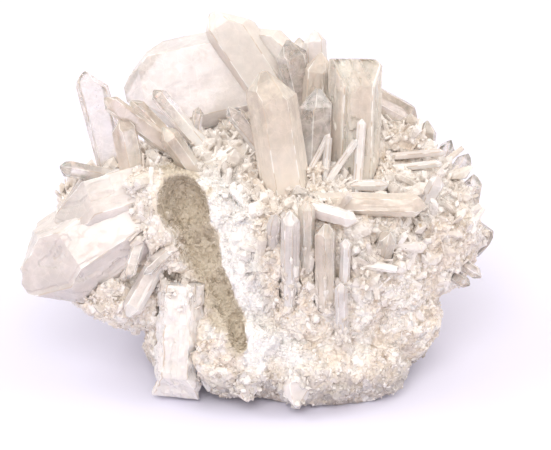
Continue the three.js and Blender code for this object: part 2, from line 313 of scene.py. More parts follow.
addCamera()
addFloor()
addSky()
for name, look in lamps.items():
    addLamp(name, look)
bpy.context.scene.view_settings.view_transform = "Standard"
print("studio set")


quartzLooks = {
    # glass tint, milk colour, colour of the duskier faces, share of milk in a veil, size of the veils,
    # blur of the faces, and tilt of the frosted spots
    "clear_quartz": {"tint": "#fffcfa", "milk": "#fff8f3", "dusk": "#eee3dc", "veil": 0.3,
                     "veilSize": 3.0 * mm, "rough": 0.03, "frost": 0.08},
    "smoky_quartz": {"tint": "#fdf6ee", "milk": "#fcf1e8", "dusk": "#e4d6ca", "veil": 0.3,
                     "veilSize": 3.5 * mm, "rough": 0.04, "frost": 0.1},
    "milky_quartz": {"tint": "#fffbfa", "milk": "#fff8f6", "dusk": "#ebe1dd", "veil": 0.35,
                     "veilSize": 5.0 * mm, "rough": 0.12, "frost": 0.3},
}


quartzDetail = {
    # healed cracks: size of the cells between them, how wide they show as a share of a cell, how far the
    # veils bend them, and how milky they are
    "crackSize": 3.5 * mm, "crackWidth": 0.035, "crackBend": 1.5 * mm, "crackMilk": 0.12,
    # edges: how milky, size of the stretches of their white painted highlight and tan painted shade, and
    # the two colours
    "edgeMilk": 0.5, "edgeLineSize": 5 * mm, "edgeShadeTan": "#c8b5a2", "edgeHighlightWhite": "#fffefc",
    "frostSize": 1.3 * mm, "veilBlur": 0.12,
}
quartzIor = 1.544
scatterRadius = (1.0, 0.9, 0.82)  # red light goes deepest into milky quartz


def facetHeight(tree, place, size):
    # a height that gives each little cell its own flat, tilted face: the way from the cell's seed point
    # times a direction of the cell's own
    cell = addNode(tree, "TexVoronoi", {"Vector": place, "Scale": 1 / size})
    away = addNode(tree, "VectorMath", {0: place, 1: cell.outputs["Position"]}, operation="SUBTRACT")
    lean = addNode(tree, "VectorMath", {0: cell.outputs["Color"], 1: (0.5, 0.5, 0.5)}, operation="SUBTRACT")
    return addNode(tree, "VectorMath", {0: away.outputs[0], 1: lean.outputs[0]},
                   operation="DOT_PRODUCT").outputs["Value"]


def quartzMaterial(slot):
    # crystal quartz: glass where the clear layer says so, milk elsewhere, with soft veils and thin healed
    # cracks, a slightly different tone on each face, and lines along the edges painted white as highlight
    # and tan as shade
    look = {**quartzDetail, **quartzLooks[slot]}
    material, tree = newMaterial(slot.replace("_q", "Q"))
    place = addNode(tree, "TexCoord").outputs["Object"]
    clear, edge, tone = (addNode(tree, "Attribute", attribute_name=layer).outputs["Fac"]
                         for layer in ("clear", "edge", "tone"))
    cloud = addNode(tree, "TexNoise", {
        "Vector": place, "Scale": 1 / look["veilSize"], "Detail": 5, "Roughness": 0.6})
    veil = addNode(tree, "MapRange", {
        "Value": cloud.outputs[0], "From Min": 0.42, "From Max": 0.68}).outputs[0]
    # cracks: lines between Voronoi cells, bent by the veils
    bent = addNode(tree, "VectorMath", {0: cloud.outputs["Color"], 1: (look["crackBend"],) * 3},
                   operation="MULTIPLY")
    moved = addNode(tree, "VectorMath", {0: place, 1: bent.outputs[0]}, operation="ADD")
    crack = addNode(tree, "TexVoronoi", {"Vector": moved.outputs[0], "Scale": 1 / look["crackSize"]},
                    feature="DISTANCE_TO_EDGE")
    trace = addNode(tree, "MapRange", {
        "Value": crack.outputs[0], "From Min": look["crackWidth"], "From Max": 0.0})
    # milk: the veils plus the cracks plus the edges, whose painted lines it lets show; what is left of the
    # clear layer is glass
    milk = addNode(tree, "Math", {0: veil, 1: look["veil"]}, operation="MULTIPLY", use_clamp=True)
    for mask, strength in ((trace.outputs[0], look["crackMilk"]), (edge, look["edgeMilk"])):
        milk = addNode(tree, "Math", {0: mask, 1: strength, 2: milk.outputs[0]},
                       operation="MULTIPLY_ADD", use_clamp=True)
    glass = addNode(tree, "Math", {0: 1.0, 1: milk.outputs[0]}, operation="SUBTRACT", use_clamp=True)
    glass = addNode(tree, "Math", {0: clear, 1: glass.outputs[0]}, operation="MULTIPLY", use_clamp=True)
    # the edge lines: tan stretches are painted shade, white stretches painted highlight; this noise splits
    # them
    worn = addNode(tree, "TexNoise", {"Vector": place, "Scale": 1 / look["edgeLineSize"], "Detail": 1})
    worn = addNode(tree, "MapRange", {"Value": worn.outputs[0], "From Min": 0.47, "From Max": 0.53})
    line = addNode(tree, "Mix", {
        "Factor": worn.outputs[0], 6: look["edgeShadeTan"], 7: look["edgeHighlightWhite"]}, data_type="RGBA")
    colour = look["tint"]
    for over, mask in ((look["milk"], milk.outputs[0]), (look["dusk"], tone), (line.outputs[2], edge)):
        colour = addNode(tree, "Mix", {"Factor": mask, 6: colour, 7: over}, data_type="RGBA").outputs[2]
    rough = addNode(tree, "MapRange", {
        "Value": veil, "To Min": look["rough"], "To Max": look["rough"] + look["veilBlur"]})
    # frost: little tilted facets where there is a veil and the crystal isn't clear
    frost = addNode(tree, "Math", {0: 1.05, 1: clear}, operation="SUBTRACT", use_clamp=True)
    for height in (veil, facetHeight(tree, place, look["frostSize"])):
        frost = addNode(tree, "Math", {0: height, 1: frost.outputs[0]}, operation="MULTIPLY",
                        use_clamp=True)
    bump = addNode(tree, "Bump", {"Height": frost.outputs[0], "Strength": 1.0, "Distance": look["frost"]})
    shader = addNode(tree, "BsdfPrincipled", {
        "Base Color": colour, "Roughness": rough.outputs[0], "IOR": quartzIor,
        "Transmission Weight": glass.outputs[0], "Subsurface Weight": 0.5,
        "Subsurface Radius": scatterRadius, "Subsurface Scale": 1.5 * mm, "Normal": bump.outputs[0]})
    addNode(tree, "OutputMaterial", {"Surface": shader.outputs[0]})
    return material


rockLook = {
    "pale": "#fbf5f0", "cream": "#f7ece2", "tan": "#f0e2d2", "dusk": "#dccdbd", "rust": "#c9a870",
    # the foot colour is painted shade, darker towards the bottom
    "speck": "#5a4a38", "cavity": "#dcd1c0", "snow": "#fffcfa", "footShade": "#c8c2bd",
    # clouds: size, noise at which they start and are full, and a shift that makes each its own
    "creamClouds": (14 * mm, 0.42, 0.62, 0.1), "tanClouds": (6 * mm, 0.5, 0.72, 0.2),
    "rustClouds": (2.2 * mm, 0.69, 0.78, 0.3), "speckClouds": (7 * mm, 0.55, 0.6, 0.4),
    "mosaic": 1.8 * mm, "specks": 1.1 * mm,  # size of the little crystals, and spacing of the specks
    "footShadeHeight": (13 * mm, 6 * mm),  # painted shade at the foot: the height where it starts, and where it is full
    "coarseFacet": 1.8 * mm, "fineFacet": 0.7 * mm,
}


def rockColour(tree, place):
    # pale quartz rock: cream and tan clouds, rusty specks, painted shade darkening the foot, white along
    # the cavity's right lip, and taupe inside the cavity
    def clouds(size, low, high, shift):
        away = (shift, shift * 0.7, shift * 1.3)
        moved = addNode(tree, "VectorMath", {0: place, 1: away}, operation="ADD")
        noise = addNode(tree, "TexNoise", {"Vector": moved.outputs[0], "Scale": 1 / size, "Detail": 4})
        return addNode(tree, "MapRange", {
            "Value": noise.outputs[0], "From Min": low, "From Max": high}).outputs[0]

    height = addNode(tree, "SeparateXYZ", {0: place}).outputs["Z"]
    # painted shade: the rock darkens towards its foot
    start, full = rockLook["footShadeHeight"]
    footShadeMask = addNode(tree, "MapRange", {"Value": height, "From Min": start, "From Max": full})
    # a mosaic of small crystals, some frosted and some dusky
    cell = addNode(tree, "TexVoronoi", {"Vector": place, "Scale": 1 / rockLook["mosaic"]})
    chance = addNode(tree, "SeparateXYZ", {0: cell.outputs["Color"]})
    frosted = addNode(tree, "MapRange", {
        "Value": chance.outputs["X"], "From Min": 0.6, "From Max": 1.0, "To Max": 0.7})
    dusky = addNode(tree, "MapRange", {
        "Value": chance.outputs["Y"], "From Min": 0.72, "From Max": 0.0, "To Max": 0.6})
    specks = addNode(tree, "TexVoronoi", {"Vector": place, "Scale": 1 / rockLook["specks"]})
    specks = addNode(tree, "MapRange", {
        "Value": specks.outputs["Distance"], "From Min": 0.16, "From Max": 0.1})
    specks = addNode(tree, "Math", {0: specks.outputs[0], 1: clouds(*rockLook["speckClouds"])},
                     operation="MULTIPLY", use_clamp=True)
    snow, cavityTint = (addNode(tree, "Attribute", attribute_name=layer).outputs["Fac"]
                   for layer in ("snow", "cavityTint"))
    colour = rockLook["pale"]
    for over, mask in (
            ("cream", clouds(*rockLook["creamClouds"])), ("tan", clouds(*rockLook["tanClouds"])),
            ("footShade", footShadeMask.outputs[0]), ("snow", frosted.outputs[0]), ("dusk", dusky.outputs[0]),
            ("rust", clouds(*rockLook["rustClouds"])), ("speck", specks.outputs[0]), ("snow", snow),
            ("cavity", cavityTint)):
        colour = addNode(tree, "Mix", {
            "Factor": mask, 6: colour, 7: rockLook[over]}, data_type="RGBA").outputs[2]
    return colour


def matrixMaterial():
    # rough massive quartz: dull, slightly see-through, with a sugary bump
    material, tree = newMaterial("massiveQuartz")
    place = addNode(tree, "TexCoord").outputs["Object"]
    coarse = facetHeight(tree, place, rockLook["coarseFacet"])
    fine = facetHeight(tree, place, rockLook["fineFacet"])
    height = addNode(tree, "Math", {0: coarse, 1: fine}, operation="ADD").outputs[0]
    bump = addNode(tree, "Bump", {"Height": height, "Strength": 1.0, "Distance": 1.1})
    shader = addNode(tree, "BsdfPrincipled", {
        "Base Color": rockColour(tree, place), "Roughness": 0.3, "IOR": quartzIor,
        "Subsurface Weight": 0.3, "Subsurface Radius": scatterRadius, "Subsurface Scale": 0.8 * mm,
        "Normal": bump.outputs[0]})
    addNode(tree, "OutputMaterial", {"Surface": shader.outputs[0]})
    return material


druseSkins = {
    # for each material: clearness, blur of the faces, how much whiter than the rock, and its kinds of druse
    "sugaryDruse": (0.15, 0.25, 0.0, ["grains"]),  # sugar: dull, the rock's own colour
    "rootBlocks": (0.2, 0.15, 0.1, ["collar"]),  # a soft shine, a little see-through
    "brokenColumns": (0.3, 0.12, 0.1, ["columns"]),
    "brokenBlocks": (0.15, 0.15, 0.1, ["blocks", "chips"]),  # fresh breaks, milky
    "parallelGrowth": (0.3, 0.08, 0.1, ["overgrowth"]),
    "clearPoints": (0.22, 0.05, 0.1, ["points", "spikes"]),  # bright, sharp glints
}


def druseMaterial(name, clearness, rough, pale):
    # druse: small glassy crystals in the rock's own colours, some clear and some white by their shade
    # layer; pale is how much whiter than the rock even the others are
    material, tree = newMaterial(name)
    place = addNode(tree, "TexCoord").outputs["Object"]
    shade, tip, cavityTint = (addNode(tree, "Attribute", attribute_name=layer).outputs["Fac"]
                         for layer in ("shade", "tip", "cavityTint"))
    white = addNode(tree, "MapRange", {"Value": shade, "From Min": 0.45, "To Min": pale, "To Max": 0.8})
    white = addNode(tree, "Math", {0: tip, 1: 0.3, 2: white.outputs[0]}, operation="MULTIPLY_ADD",
                    use_clamp=True)
    bare = addNode(tree, "Math", {0: 1.0, 1: cavityTint}, operation="SUBTRACT", use_clamp=True)
    white = addNode(tree, "Math", {0: white.outputs[0], 1: bare.outputs[0]}, operation="MULTIPLY",
                    use_clamp=True)
    colour = addNode(tree, "Mix", {
        "Factor": white.outputs[0], 6: rockColour(tree, place), 7: rockLook["snow"]}, data_type="RGBA")
    see = addNode(tree, "MapRange", {"Value": shade, "To Min": clearness, "To Max": 0.15 * clearness})
    facets = facetHeight(tree, place, rockLook["fineFacet"])
    bump = addNode(tree, "Bump", {"Height": facets, "Strength": 1.0, "Distance": 0.5})
    shader = addNode(tree, "BsdfPrincipled", {
        "Base Color": colour.outputs[2], "Roughness": rough, "IOR": quartzIor,
        "Transmission Weight": see.outputs[0], "Normal": bump.outputs[0]})
    addNode(tree, "OutputMaterial", {"Surface": shader.outputs[0]})
    return material


materials = {slot: quartzMaterial(slot) for slot in quartzLooks}
materials["matrix_quartz"] = matrixMaterial()
for name, (clearness, rough, pale, kinds) in druseSkins.items():
    skin = druseMaterial(name, clearness, rough, pale)
    materials.update({kind: skin for kind in kinds})
print("materials made")


crystalLook = {
    "rowStep": 0.5 * mm, "tipRowStep": 0.18 * mm,  # spacing of the cross-sections
    "striation": 0.012 * mm,  # depth of the growth lines
    "swell": 0.005,  # slow swell, as a share of the width
    "band": 0.02,  # depth of the steps between parallel-grown bands, as a share of the width
    "edge": 0.03 * mm, "chip": 0.22 * mm,  # worn edge, and the deepest chip in it
    "rim": 0.2 * mm, "edgeReach": 0.25 * mm,  # width of the painted highlight and shade line along an edge, and how far in chips reach
    "dimple": 0.02 * mm,  # depth of the uneven bumps all over
    "tone": (0.0, 0.6),  # how dusky the lightest and the darkest face are
    "clear": {"clear_quartz": (0.25, 0.85), "smoky_quartz": (0.2, 0.75), "milky_quartz": (0.05, 0.35)},
}
# what the broken columns of the front, and single crystals, do differently
columnChange = {"chip": 0.9 * mm, "dimple": 0.14 * mm, "edgeReach": 0.6 * mm, "band": 0.09,
                "clear": (0.2, 0.5)}
milkyEnd = {"band": 0.04, "chip": 1.3 * mm, "dimple": 0.14 * mm, "edgeReach": 1.0 * mm, "tone": (0.3, 0.8)}
tabular = {"band": 0.03, "tone": (0.35, 0.9), "clear": (0.1, 0.3)}
roughBase = {"chip": 1.6 * mm, "dimple": 0.35 * mm, "edgeReach": 1.5 * mm, "tone": (0.3, 0.8),
             "clear": (0.1, 0.2)}
crystalChanges = {
    "foot_crystal": {"band": 0.05, "chip": 3 * mm, "dimple": 0.8 * mm, "edgeReach": 2.5 * mm,
                     "tone": (0.1, 0.4), "clear": (0.1, 0.2)},
    "left_block_crystal": {**milkyEnd, "clear": (0.15, 0.4)},
    "left_shoulder_crystal": {**milkyEnd, "clear": (0.2, 0.45)},
    "back_plate_crystal": {"band": 0.004, "tone": (0.15, 0.5), "clear": (0.4, 0.6)},
    "window_crystal": {"band": 0, "dimple": 0, "striation": 0, "swell": 0.001, "tone": (0.0, 0.5),
                       "clear": (0.75, 0.85)},
    "tabular_crystal": tabular,
    "tabular_crystal_step": tabular,
    "tower_crystal": {"band": 0.16, "clear": (0.12, 0.45)},
    "tower_left_crystal": {"band": 0.08, "clear": (0.12, 0.45)},
    "dark_tip_crystal": {"clear": (0.12, 0.6)},
    "frosted_crystal": {"dimple": 0.12 * mm, "chip": 0.6 * mm},
    "wedge_crystal": {"chip": 1.2 * mm, "dimple": 0.25 * mm, "edgeReach": 1.0 * mm, "clear": (0.1, 0.3)},
    "base_crystal_1": roughBase,
    "base_crystal_2": roughBase,
    "shelf_crystal_3": {"chip": 0.9 * mm, "dimple": 0.2 * mm, "edgeReach": 0.8 * mm, "clear": (0.3, 0.5)},
}


def crystalHeights(form, look):
    # where the cross-sections stand along the c-axis: far apart on the prism, closer on the tip
    lift = (form["tipAt"] - form["sideAt"] * math.sin(rhombTilt)) / math.cos(rhombTilt)
    shoulder = float(np.clip(lift.min(), form["start"], form["end"]))
    rowsBelow = int(np.clip((shoulder - form["start"]) / look["rowStep"], 6, 90))
    rowsAbove = int(np.clip((form["end"] - shoulder) / look["tipRowStep"], 10, 60))
    return np.concatenate([np.linspace(form["start"], shoulder, rowsBelow, endpoint=False),
                           np.linspace(shoulder, form["end"] - 0.001 * mm, rowsAbove)])


def tubeFaces(rows, count):
    # quads between neighbouring rings of count points, and a fan of triangles that closes each end
    row, column = np.meshgrid(np.arange(rows - 1), np.arange(count), indexing="ij")
    here, beside = row * count + column, row * count + (column + 1) % count
    quads = np.stack([here, beside, beside + count, here + count], -1).reshape(-1, 4)
    turn = np.arange(count)
    first, last, top = rows * count, rows * count + 1, (rows - 1) * count
    caps = np.concatenate([np.stack([(turn + 1) % count, turn, np.full(count, first)], -1),
                           np.stack([top + turn, top + (turn + 1) % count, np.full(count, last)], -1)])
    return [quads, caps]


def crystalMesh(node, seed):
    # Cross-sections carried along the c-axis. Each is a hexagon whose side j stands at the nearer of prism
    # face j and tip face j at that height; a side whose neighbours meet inside it shrinks to their corner.
    form = forms[node]
    look = {**crystalLook, "clear": crystalLook["clear"][slotOf[node]]}
    look.update(columnChange if node.startswith("column") else {})
    look.update(crystalChanges.get(node, {}))
    width = crystalWidth(form)
    heights = crystalHeights(form, look)
    rows, side = np.meshgrid(heights, np.arange(6), indexing="ij")
    stripes = latticeNoise(np.stack([rows / (0.5 * mm), side * 7.3, 0 * rows + seed], -1), 1.0, seed)
    swells = latticeNoise(np.stack([rows / (4 * mm), side * 3.1, 0 * rows + seed], -1), 1.0, seed + 5)
    prismAt = form["sideAt"] + look["striation"] * stripes + look["swell"] * width * swells
    tipAt = (form["tipAt"] - rows * math.cos(rhombTilt)) / math.sin(rhombTilt)
    reach = np.minimum(prismAt, tipAt)
    for _ in range(4):
        reach = np.minimum(reach, np.roll(reach, 1, 1) + np.roll(reach, -1, 1))
    # the corner between sides j and j+1 keeps both distances, so it lies on both lines
    unit = form["sides"]
    after, afterUnit = np.roll(reach, -1, 1), np.roll(unit, -1, 0)
    corner = ((reach - 0.5 * after)[..., None] * unit + (after - 0.5 * reach)[..., None] * afterUnit) / 0.75
    before = np.roll(corner, 1, 1)
    span = np.linalg.norm(corner - before, axis=-1)[:, :, None]
    columns = int(np.clip(width / (0.45 * mm) + 3, 5, 30))
    rim = np.clip(look["rim"] / np.maximum(span, 1e-9), 0, 0.2)
    share = np.concatenate([0 * span, rim + (1 - 2 * rim) * np.linspace(0, 1, columns)], axis=-1)
    ring = before[:, :, None] * (1 - share)[..., None] + corner[:, :, None] * share[..., None]
    # bands of parallel growth: steps across a face that run along the axis, and die out at its edges
    across = np.stack(np.broadcast_arrays(share * span / (0.17 * width), side[..., None] * 9.1 + seed,
                                          rows[..., None] / (11 * mm)), -1)
    bands = np.round(latticeNoise(across, 1.0, seed + 7) * 2.2) / 2.2
    bands += 0.3 * np.round(latticeNoise(across * [2.6, 1, 1.4], 1.0, seed + 8) * 2) / 2
    bands *= np.minimum(1, np.minimum(share, 1 - share) * 9) * np.minimum(1, span / (3 * mm))
    ring = ring + unit[None, :, None] * (np.minimum(bands, 0.2) * look["band"] * width)[..., None]
    # worn and chipped edges: the corners are drawn in
    centre = corner.mean(1)[:, None, None]
    outward = ring - centre
    radius = np.maximum(np.linalg.norm(outward, axis=-1, keepdims=True), 1e-7)
    chips = np.clip(latticeNoise(ring / (1.1 * mm) + rows[0, 0], 1.0, seed + 9) - 0.45, 0, 1)
    pull = np.where(share == 0, 1.0, np.exp(-np.minimum(share, 1 - share) * span / look["edgeReach"]))
    worn = (look["edge"] + look["chip"] * chips) * pull
    ring = ring - outward / radius * np.minimum(worn[..., None], 0.5 * radius)
    ring = ring + heights[:, None, None, None] * form["axis"]
    bumps = latticeNoise(ring, 2.4 * mm, seed + 2) + 0.4 * latticeNoise(ring, 0.8 * mm, seed + 3)
    ring = ring + outward / radius * (bumps * look["dimple"])[..., None]
    ring = ring.reshape(len(heights), -1, 3)
    points = np.concatenate([ring.reshape(-1, 3), ring[:1].mean(1), ring[-1:].mean(1)])
    growth = (points @ form["axis"] - form["start"]) / (form["end"] - form["start"])
    low, high = look["clear"]
    clear = low + (high - low) * smoothRamp(growth, 0.15, 0.75)
    # edge is 1 on the corner lines, where the material paints its highlight and shade lines
    edge = np.concatenate([np.where(share == 0, 1.0, 0.0).ravel(), [0, 1]])
    faceNumber = np.stack([side + 6 * (tipAt < prismAt), 0 * side + seed, 0 * side], -1)
    tone = hashOf(faceNumber, 11)[:, :, None] + 6 * look["band"] * bands
    low, high = look["tone"]
    tone = np.concatenate([(low + (high - low) * np.clip(tone, 0, 1)).ravel(), [low, low]])
    layers = {"clear": clear, "edge": edge, "tone": tone}
    return meshFrom(node + "_form", points, tubeFaces(len(heights), ring.shape[1]), layers, sharpOver=16)


for index, node in enumerate(sorted(forms)):
    finishPiece(crystalMesh(node, index + 3), node, materials[slotOf[node]])
print("seated crystals grown")


ridgeLook = {
    "start": (-0.5 * mm, -3 * mm, -4.5 * mm), "run": (27 * mm, 0, -12 * mm),
    "half": 3.6 * mm, "rise": 1.2 * mm,
}
rockShape = {
    "voxel": 0.65 * mm, "swell": 0.2 * mm,
    "lumps": [(14 * mm, 0.9 * mm), (6 * mm, 0.5 * mm), (2.4 * mm, 0.2 * mm)],  # size and height
    "blocks": [(6.5 * mm, 0.9 * mm), (2.8 * mm, 0.45 * mm)],  # size and height of broken, tilted faces
}


def cavityReach(points, outBy, sideBy):
    # How far each point is from the cavity's middle line, as a share of the cavity's half-width there. The
    # line runs through the middles of the stated boxes, and is moved by outBy to the back and sideBy to the
    # right. Behind it distances count half, because the cavity runs deep.
    middles = np.array([(low + high) / 2 for low, high in cavityBoxes])
    halves = np.array([(high[0] - low[0]) / 2 for low, high in cavityBoxes])
    above, below = 1.35 * middles[0] - 0.35 * middles[1], 2 * middles[2] - middles[1]
    middles = np.concatenate([[above], middles, [below]])
    halves = np.concatenate([[0.8 * halves[0]], halves, [0.7 * halves[2]]])
    steps = np.linspace(0, len(middles) - 1, 33)
    line = np.stack([np.interp(steps, np.arange(len(middles)), middles[:, k]) for k in range(3)], -1)
    half = np.interp(steps, np.arange(len(middles)), halves) + 1.9 * mm
    nearest = np.full(len(points), 1e9)
    for place, reach in zip(line, half):
        away = points - place - [sideBy * reach, outBy, 0]
        away[:, 1] *= np.where(away[:, 1] > 0, 0.5, 1.0)
        nearest = np.minimum(nearest, np.linalg.norm(away, axis=1) / reach)
    return nearest


def ridgeReach(points):
    # how far each point is from the white ridge, which runs from the cavity's foot down to the right
    start = cavityBoxes[-1].mean(0) + np.array(ridgeLook["start"])
    along = np.array(ridgeLook["run"])
    share = np.clip((points - start) @ along / (along @ along), 0, 1)
    return np.linalg.norm(points - start - share[:, None] * along, axis=1)


def cavityAndSnowLayers(points):
    # the cavity layer is 1 inside the cavity, where the rock turns taupe, with a ragged edge; snow is 1
    # along its right lip and on the white ridge
    ragged = 0.22 * latticeNoise(points, 4 * mm, 96) + 0.14 * latticeNoise(points, 1.5 * mm, 97)
    cavityTint = 1 - smoothRamp(cavityReach(points, 4 * mm, -0.06) + ragged, 0.98, 1.14)
    snow = 1 - smoothRamp(cavityReach(points, -2 * mm, 1.5), 0.8, 1.7)
    wobble = 1 + 0.5 * latticeNoise(points, 4 * mm, 95)
    ridge = 1 - smoothRamp(ridgeReach(points) * wobble, 0.5 * ridgeLook["half"], 1.3 * ridgeLook["half"])
    return {"cavityTint": cavityTint, "snow": np.maximum(snow, ridge) * (1 - cavityTint)}


def matrixMesh():
    # the frame's matrix, remeshed finely and roughened with lumps and with broken, tilted faces
    copy = bpy.data.objects.new("rough", frame["nodes"]["quartz_matrix"].data.copy())
    bpy.context.scene.collection.objects.link(copy)
    shell = bmesh.new()
    shell.from_mesh(copy.data)
    bmesh.ops.remove_doubles(shell, verts=shell.verts, dist=0.002 * mm)
    shell.to_mesh(copy.data)
    shell.free()
    remesh = copy.modifiers.new("remesh", "REMESH")
    remesh.mode = "VOXEL"
    remesh.voxel_size = rockShape["voxel"]
    mesh = bpy.data.meshes.new_from_object(copy.evaluated_get(bpy.context.evaluated_depsgraph_get()))
    bpy.data.objects.remove(copy)
    points = np.zeros(len(mesh.vertices) * 3)
    normals = np.zeros(len(mesh.vertices) * 3)
    mesh.vertices.foreach_get("co", points)
    mesh.vertex_normals.foreach_get("vector", normals)
    points, normals = points.reshape(-1, 3), normals.reshape(-1, 3)
    rise = np.full(len(points), rockShape["swell"])
    for seed, (size, height) in enumerate(rockShape["lumps"]):
        rise += height * latticeNoise(points, size, seed + 20)
    for seed, (size, height) in enumerate(rockShape["blocks"]):
        offset, label = nearestCell(points, size, seed * 10 + 40)
        lean = np.stack([np.sin(label * 91.7), np.cos(label * 57.3), np.sin(label * 33.1 + 2)], -1)
        rise += height * ((offset * lean).sum(1) / size + (label - 0.5) * 0.7)
    half = ridgeLook["half"]
    rise += ridgeLook["rise"] * (1 - smoothRamp(ridgeReach(points), 0.4 * half, half))
    rise *= 1 - 0.7 * (1 - smoothRamp(cavityReach(points, 0, 0), 1.2, 2.0))
    rise *= smoothRamp(points[:, 2], 0, 3 * mm)
    points = points + normals * rise[:, None]
    points[:, 2] = np.maximum(points[:, 2], 0)
    mesh.vertices.foreach_set("co", points.astype(np.float32).ravel())
    mesh.update()
    addLayers(mesh, cavityAndSnowLayers(points))
    mesh.materials.clear()
    piece = bpy.data.objects.new("matrix_rock", mesh)
    bpy.context.scene.collection.objects.link(piece)
    return piece


matrix = matrixMesh()
finishPiece(matrix, "quartz_matrix", materials["matrix_quartz"])
rock = triangleData(matrix.data)
print("matrix roughened:", len(rock[1]), "triangles")


druseLook = {
    # broken columns, stubby blocks and chips, sunk in the rock, that stand upright along its walls
    "columns": {"count": 2600, "length": (4 * mm, 9 * mm), "half": (0.9 * mm, 2.4 * mm), "out": 0.4,
                "sunk": 1.2 * mm, "onTop": 0.2},
    "blocks": {"count": 5500, "length": (2.2 * mm, 5 * mm), "half": (1.0 * mm, 2.3 * mm), "out": 0.4,
               "sunk": 0.9 * mm, "onTop": 0.4},
    "chips": {"count": 17000, "length": (1.2 * mm, 3.2 * mm), "half": (0.5 * mm, 1.4 * mm), "out": 0.45,
              "sunk": 0.4 * mm, "onTop": 1.0},
    # narrow crystals grown parallel on the lower parts of the big ones
    "overgrowth": {"count": 2000, "length": (2 * mm, 6 * mm), "half": (0.3 * mm, 1.2 * mm), "out": 0.5},
    # rough blocks round the roots of the seated crystals
    "collar": {"count": 2600, "length": (1.4 * mm, 4 * mm), "half": (0.6 * mm, 1.6 * mm), "out": 0.45},
    # points that stand on the upper side, stout ones and slim ones
    "points": {"count": 330, "length": (5 * mm, 13 * mm), "half": (1.0 * mm, 2.4 * mm), "out": 0.5},
    "spikes": {"count": 600, "length": (2.5 * mm, 7 * mm), "half": (0.35 * mm, 1.0 * mm), "out": 0.6},
    # sugar: grains about as wide as long; real ones are 0.4 to 0.6 mm wide, the widest here 1 mm, to show
    "grains": {"count": 24000, "length": (0.5 * mm, 1.3 * mm), "half": (0.2 * mm, 0.5 * mm), "out": 0.5},
}
mostInPiece = 8500  # small crystals in one object
# how far up the seated crystals the collars of blocks reach, as a share of their length
collarDepth = {"foot_crystal": 0.22, "left_block_crystal": 0.16, "left_shoulder_crystal": 0.14,
               "foot_side_crystal": 0.3, "base_crystal_1": 0.95, "base_crystal_2": 0.95,
               "back_plate_crystal": 0.05, "window_crystal": 0.08, "rest": 0.14}


def scatterOn(surface, count, random):
    # places spread evenly by area over a surface's triangles, with the normal there
    points, corners, normals, areas = surface
    pick = random.choice(len(areas), count, p=areas / areas.sum())
    one, two = random.random((2, count))
    root = np.sqrt(one)
    weight = np.stack([1 - root, root * (1 - two), root * two], -1)
    return (points[corners[pick]] * weight[..., None]).sum(1), normals[pick]


def unitRows(rows):
    # each row divided by its own length
    return rows / np.maximum(np.linalg.norm(rows, axis=-1, keepdims=True), 1e-12)


def growSwarm(name, kind, places, ways, random, scale=None):
    # split into objects of few enough crystals; gives the last one back
    scale = np.ones(len(places)) if scale is None else scale
    for number, start in enumerate(range(0, len(places), mostInPiece)):
        part = slice(start, start + mostInPiece)
        piece = crystalSwarm(f"{name}_{number + 1}", kind, places[part], ways[part], random,
                             scale[part])
    return piece


def crystalSwarm(name, kind, places, ways, random, scale):
    # Many small crystals at once. Each is a six-sided prism: a narrow ring at the foot, a wider one at the
    # shoulder, and a point a little off the middle. It is flattened by chance, and the out share of it
    # shows.
    look = druseLook[kind]
    total = len(places)
    low, high = look["length"]
    length = (low + (high - low) * random.random(total) ** 2.5) * scale
    low, high = look["half"]
    half = np.minimum(low + (high - low) * random.random(total) ** 1.7, 0.5 * length)
    side = unitRows(np.cross(ways, random.normal(size=(total, 3))))
    other = np.cross(ways, side) * (0.35 + 0.65 * random.random(total))[:, None]
    angle = np.radians(60 * np.arange(6))
    uneven = (0.8 + 0.4 * random.random((total, 6))) * half[:, None]
    ring = np.cos(angle)[None, :, None] * side[:, None] + np.sin(angle)[None, :, None] * other[:, None]
    ring = ring * uneven[..., None]
    foot = places - ways * ((1 - look["out"]) * length)[:, None]
    top = places + ways * (look["out"] * length)[:, None]
    shoulder = top - ways * (0.9 * half)[:, None]
    tip = top + ring[:, 0] * (0.9 * random.random((total, 1)))
    points = np.concatenate([foot[:, None] + 0.6 * ring, shoulder[:, None] + ring, tip[:, None]], 1)
    points = points.reshape(-1, 3)
    points[:, 2] = np.maximum(points[:, 2], 0.1 * mm)
    start = (13 * np.arange(total))[:, None, None]
    turn = np.arange(6)
    after = (turn + 1) % 6
    walls = (np.stack([turn, after, after + 6, turn + 6], -1)[None] + start).reshape(-1, 4)
    peaks = (np.stack([turn + 6, after + 6, np.full(6, 12)], -1)[None] + start).reshape(-1, 3)
    feet = (turn[::-1][None, None] + start).reshape(-1, 6)
    paleness = np.concatenate([np.zeros(6), np.full(6, 0.25), [1.0]])
    layers = {"shade": np.repeat(random.random(total), 13), "tip": np.tile(paleness, total)}
    layers.update(cavityAndSnowLayers(points))
    piece = meshFrom(name, points, [walls, peaks, feet], layers)
    finishPiece(piece, "quartz_matrix", materials[kind])
    return piece


